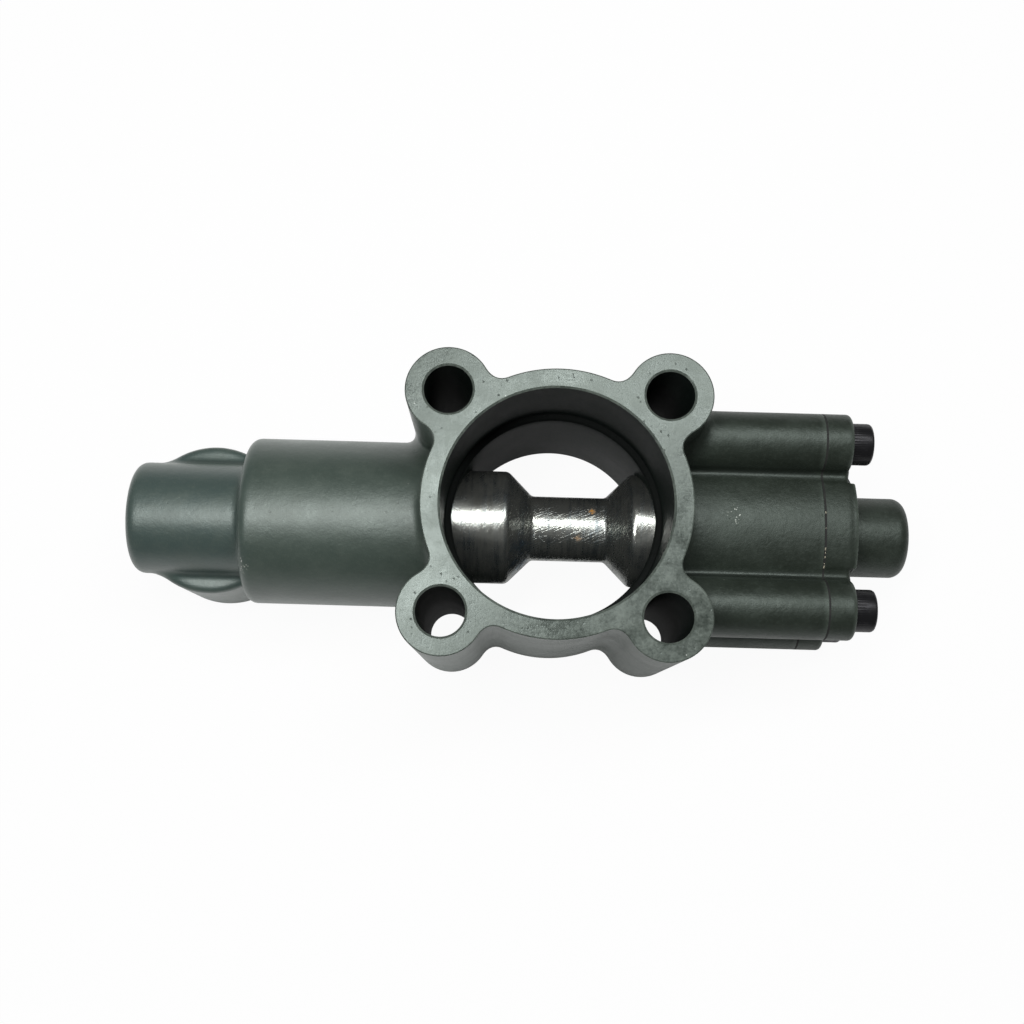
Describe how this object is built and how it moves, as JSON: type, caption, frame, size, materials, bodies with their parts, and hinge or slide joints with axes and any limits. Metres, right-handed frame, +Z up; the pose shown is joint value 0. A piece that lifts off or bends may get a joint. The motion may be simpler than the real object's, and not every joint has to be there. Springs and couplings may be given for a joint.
{
  "type": "gearbox air valve",
  "caption": "Air valve with a four-eared through-bore flange, crossed by a sprung waisted plunger that the gear lever finger pushes to move an air spool in the nose.",
  "frame": {"origin": "middle of the four bolt holes, on the lower machined face", "axes": "+Z up the big bore to the upper machined face, +X along the plunger toward the end cover (so -X points to the nose), +Y to the side"},
  "size_m": [0.19, 0.0696, 0.064],
  "materials": {
    "casting": "dark olive grey coating over a fine cast grain, lighter and pitted on the machined faces",
    "gasket_sheet": "compressed fibre sheet, dark",
    "sealant": "pale sealant crumbs",
    "blackened_steel": "black oxide",
    "polymer": "plain moulded",
    "bronze": "turned",
    "ground_steel": "ground and lightly scratched",
    "seal_rubber": "nitrile",
    "plated_steel": "zinc plated",
    "spring_steel": "drawn wire, oiled"
  },
  "bodies": {
    "housing": {"valve_body": "casting", "end_cover": "casting", "cover_gasket": "gasket_sheet", "sealant_squeeze": "sealant", "cover_screws": "blackened_steel", "stop_washer": "polymer", "tail_bush": "bronze", "return_spring": "spring_steel", "valve_sleeve": "bronze", "sleeve_o_rings": "seal_rubber", "stem_seal": "seal_rubber", "vent_filter": "bronze"},
    "plunger": {"shift_plunger": "ground_steel", "plunger_seal_left": "seal_rubber", "plunger_seal_right": "seal_rubber", "guide_ring_left": "polymer", "guide_ring_right": "polymer", "valve_spool": "ground_steel", "spool_seal": "seal_rubber", "spool_lock_nut": "plated_steel", "spring_seat_washer": "plated_steel"}
  },
  "joints": [
    {"name": "plunger_slide", "type": "slide", "parent": "housing", "child": "plunger", "axis": [1, 0, 0], "range_m": [-0.008, 0], "stiffness_N_per_m": 5000, "springref_m": 0.01, "deforming": ["return_spring"]}
  ]
}
